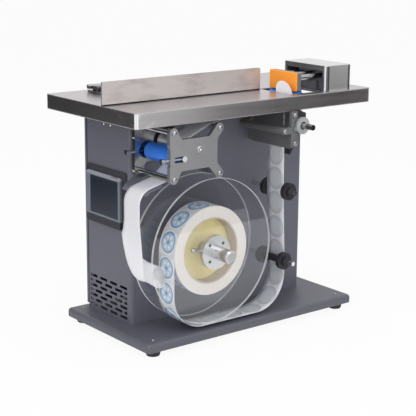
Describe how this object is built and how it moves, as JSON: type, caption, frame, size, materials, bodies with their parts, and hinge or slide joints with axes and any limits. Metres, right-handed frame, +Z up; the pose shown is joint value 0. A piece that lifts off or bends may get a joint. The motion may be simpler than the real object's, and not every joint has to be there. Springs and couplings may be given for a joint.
{
  "type": "corner labelling machine",
  "caption": "Bench labelling machine: steel tray table with fence and press pad over a cabinet with touch panel, label reel between clear discs, nip drive and peel blade.",
  "frame": {"origin": "middle of the bounding box on the floor under the rubber feet", "axes": "+X along the table away from the touch panel, +Y from the operator's side to the back, +Z up"},
  "size_m": [0.534, 0.316, 0.476],
  "materials": {
    "powder_coat": "fine-textured grey powder coat",
    "foot_rubber": "matt black rubber",
    "stainless": "brushed stainless sheet",
    "plate_steel": "satin machined plate",
    "peel_grey": "grey anodised aluminium",
    "bright_steel": "polished steel",
    "turned_alu": "turned aluminium",
    "roller_blue": "smooth blue rubber",
    "knob_black": "glossy black moulding",
    "black_plastic": "satin black",
    "belt_rubber": "matt black rubber",
    "bezel_grey": "grey moulded plastic",
    "screen_black": "glossy black touch glass",
    "clear_acrylic": "clear polished acrylic",
    "cream_plastic": "cream turned plastic",
    "cardboard": "plain cardboard",
    "roll_paper": "wound label paper",
    "liner_paper": "glazed backing paper",
    "label_paper": "white label paper",
    "foam_orange": "orange sponge foam",
    "board_green": "green circuit board"
  },
  "bodies": {
    "machine": {"base_plate": "powder_coat", "rubber_feet": "foot_rubber", "cabinet_shell": "powder_coat", "rear_cover": "powder_coat", "tabletop": "stainless", "screen_surround": "black_plastic", "screen_bezel": "bezel_grey", "screen_glass": "screen_black", "press_housing": "stainless", "press_block": "black_plastic", "table_roller_blocks": "black_plastic", "drive_front_plate": "plate_steel", "drive_back_plate": "plate_steel", "drive_tie_rods": "bright_steel", "plate_screws": "bright_steel", "pinch_axle": "bright_steel", "pinch_screws": "bright_steel", "motor": "black_plastic", "motor_plate": "plate_steel", "drive_belt": "belt_rubber", "power_supply": "turned_alu", "control_board": "board_green", "power_inlet": "black_plastic", "reel_bearing": "turned_alu", "guide_rods": "bright_steel", "guide_collars": "black_plastic", "peel_end_plates": "peel_grey", "peel_tie_bar": "peel_grey", "peel_blade": "peel_grey", "label_sensor": "black_plastic", "label_strip": "liner_paper", "waste_liner": "liner_paper", "standing_label": "label_paper"},
    "reel": {"reel_spindle": "bright_steel", "core_hub": "cream_plastic", "reel_back_disc": "clear_acrylic", "label_core": "cardboard", "label_roll": "roll_paper"},
    "reel_front": {"reel_front_disc": "clear_acrylic", "reel_hub": "turned_alu"},
    "thumb": {"thumb_screw": "bright_steel"},
    "drive": {"drive_roller": "turned_alu", "drive_shaft": "bright_steel", "drive_pulley": "turned_alu"},
    "pinch": {"pinch_roller": "roller_blue"},
    "rotor": {"motor_pulley": "turned_alu"},
    "roller": {"table_roller": "roller_blue", "table_roller_axle": "bright_steel"},
    "sleeve_upper": {"guide_sleeve_upper": "black_plastic"},
    "sleeve_lower": {"guide_sleeve_lower": "black_plastic"},
    "peel": {"peel_roller": "black_plastic", "peel_knob": "turned_alu"},
    "press": {"press_plate": "turned_alu", "press_foam": "foam_orange", "press_rods": "bright_steel"},
    "fence": {"fence_plate": "stainless", "fence_arms": "stainless"},
    "clamp_left": {"clamp_knob_left": "knob_black"},
    "clamp_right": {"clamp_knob_right": "knob_black"},
    "rocker": {"rocker_switch": "black_plastic"}
  },
  "joints": [
    {"name": "reel_spin", "type": "hinge", "parent": "machine", "child": "reel", "pos_m": [-0.0936, 0, 0.169], "axis": [0, 1, 0], "continuous": true},
    {"name": "front_disc_slide", "type": "slide", "parent": "reel", "child": "reel_front", "axis": [0, -1, 0], "range_m": [0, 0.025]},
    {"name": "thumb_screw_turn", "type": "hinge", "parent": "reel_front", "child": "thumb", "pos_m": [-0.0936, -0.1115, 0.169], "axis": [-0.9781, 0, 0.2079], "range_deg": [-180, 180]},
    {"name": "drive_spin", "type": "hinge", "parent": "machine", "child": "drive", "pos_m": [-0.1365, 0, 0.358], "axis": [0, 1, 0], "continuous": true},
    {"name": "pinch_spin", "type": "hinge", "parent": "machine", "child": "pinch", "pos_m": [-0.16745, 0, 0.34441], "axis": [0, 1, 0], "continuous": true},
    {"name": "rotor_spin", "type": "hinge", "parent": "machine", "child": "rotor", "pos_m": [-0.1365, 0, 0.262], "axis": [0, 1, 0], "continuous": true},
    {"name": "table_roller_spin", "type": "hinge", "parent": "machine", "child": "roller", "pos_m": [0.113, 0, 0.416], "axis": [0, 1, 0], "continuous": true},
    {"name": "upper_sleeve_spin", "type": "hinge", "parent": "machine", "child": "sleeve_upper", "pos_m": [0.0805, 0, 0.253], "axis": [0, 1, 0], "continuous": true},
    {"name": "lower_sleeve_spin", "type": "hinge", "parent": "machine", "child": "sleeve_lower", "pos_m": [0.0725, 0, 0.123], "axis": [0, 1, 0], "continuous": true},
    {"name": "peel_spin", "type": "hinge", "parent": "machine", "child": "peel", "pos_m": [0.0897, 0, 0.3768], "axis": [0, 1, 0], "continuous": true},
    {"name": "press_slide", "type": "slide", "parent": "machine", "child": "press", "axis": [1, 0, 0], "range_m": [0, 0.025], "stiffness_N_per_m": 250, "springref_m": -0.004},
    {"name": "fence_slide", "type": "slide", "parent": "machine", "child": "fence", "axis": [0, 1, 0], "range_m": [-0.006, 0.05]},
    {"name": "left_clamp_turn", "type": "hinge", "parent": "machine", "child": "clamp_left", "pos_m": [-0.179, 0.123, 0.44], "axis": [0, 0, 1], "continuous": true},
    {"name": "right_clamp_turn", "type": "hinge", "parent": "machine", "child": "clamp_right", "pos_m": [-0.003, 0.123, 0.44], "axis": [0, 0, 1], "continuous": true},
    {"name": "rocker_tilt", "type": "hinge", "parent": "machine", "child": "rocker", "pos_m": [0.133, 0.137, 0.0855], "axis": [1, 0, 0], "range_deg": [-10, 10]}
  ],
  "couplings": [
    {"joint": "pinch_spin", "follows": "drive_spin", "ratio": -1.1438},
    {"joint": "rotor_spin", "follows": "drive_spin", "ratio": 2}
  ]
}
